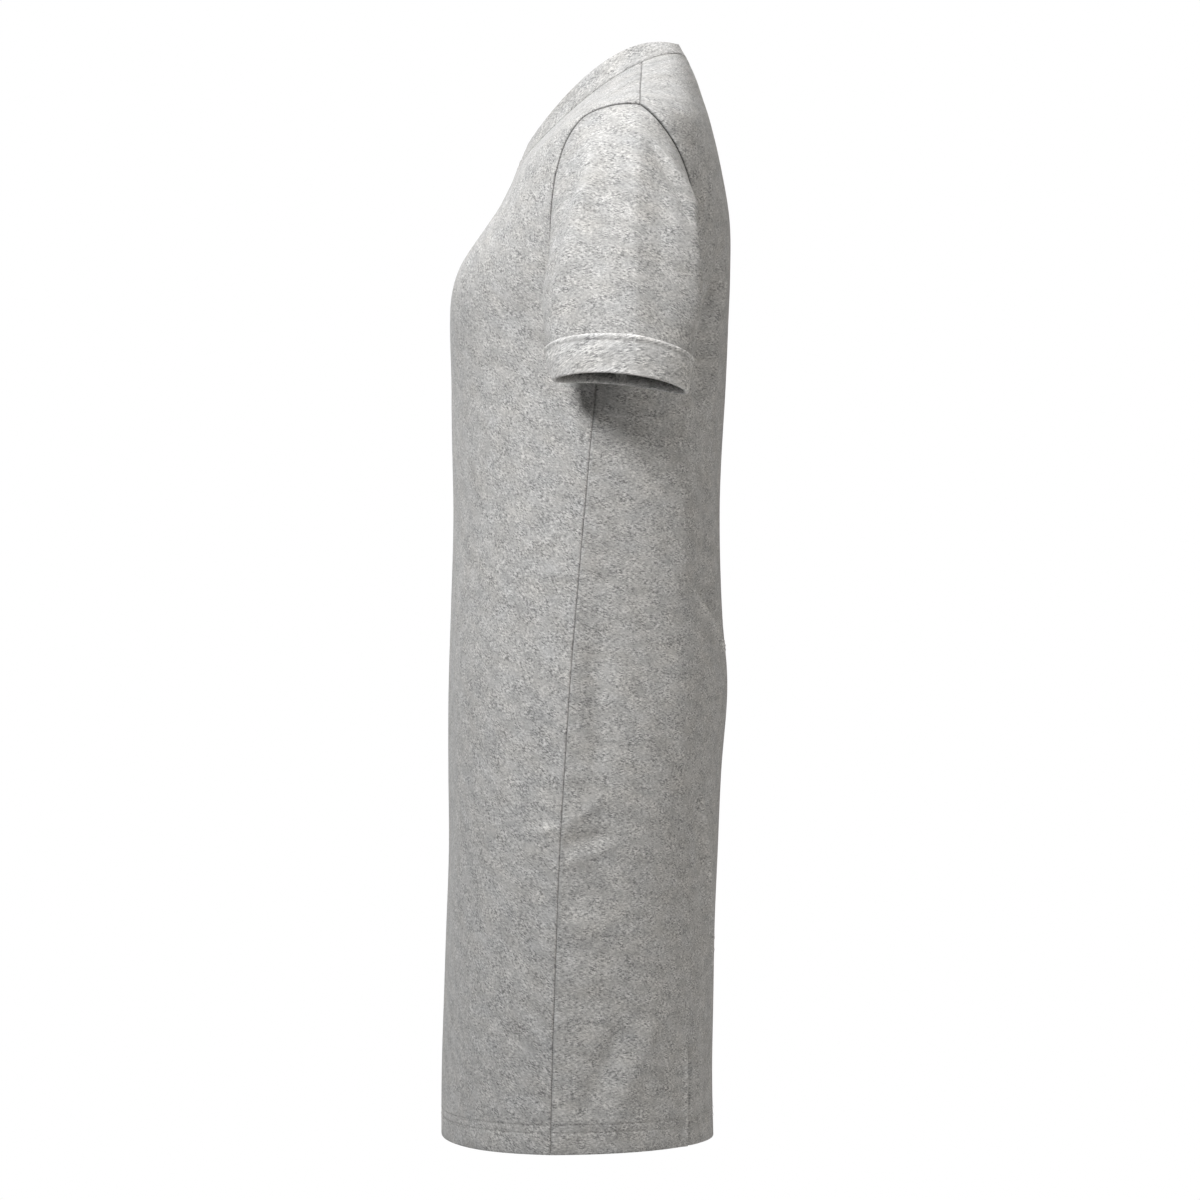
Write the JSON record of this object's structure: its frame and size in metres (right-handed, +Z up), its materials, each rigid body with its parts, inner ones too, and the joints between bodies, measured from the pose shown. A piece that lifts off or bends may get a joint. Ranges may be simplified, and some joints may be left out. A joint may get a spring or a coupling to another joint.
{
  "type": "t-shirt dress",
  "caption": "Straight knit t-shirt dress, hollow as worn, with a round neckband, short set-in sleeves with turn-back cuffs and a turned hem.",
  "frame": {"origin": "on the centre plane, level with the middle of the shoulder seams, where the wearer's shoulders carry the dress", "axes": "+Z up towards the neckband, -Y out of the dress's front, +X towards the wearer's left"},
  "size_m": [0.5274, 0.2395, 0.9042],
  "materials": {
    "front_cloth": "matt grey heather jersey",
    "back_cloth": "matt grey heather jersey",
    "sleeve_left_cloth": "matt grey heather jersey",
    "sleeve_right_cloth": "matt grey heather jersey",
    "cuff_left_cloth": "matt grey heather jersey, double",
    "cuff_right_cloth": "matt grey heather jersey, double",
    "neckband_cloth": "matt grey heather jersey, a folded strip"
  },
  "bodies": {
    "root": {"front": "front_cloth", "back": "back_cloth", "sleeve_left": "sleeve_left_cloth", "sleeve_right": "sleeve_right_cloth", "cuff_left": "cuff_left_cloth", "cuff_right": "cuff_right_cloth", "neckband": "neckband_cloth"}
  },
  "joints": []
}
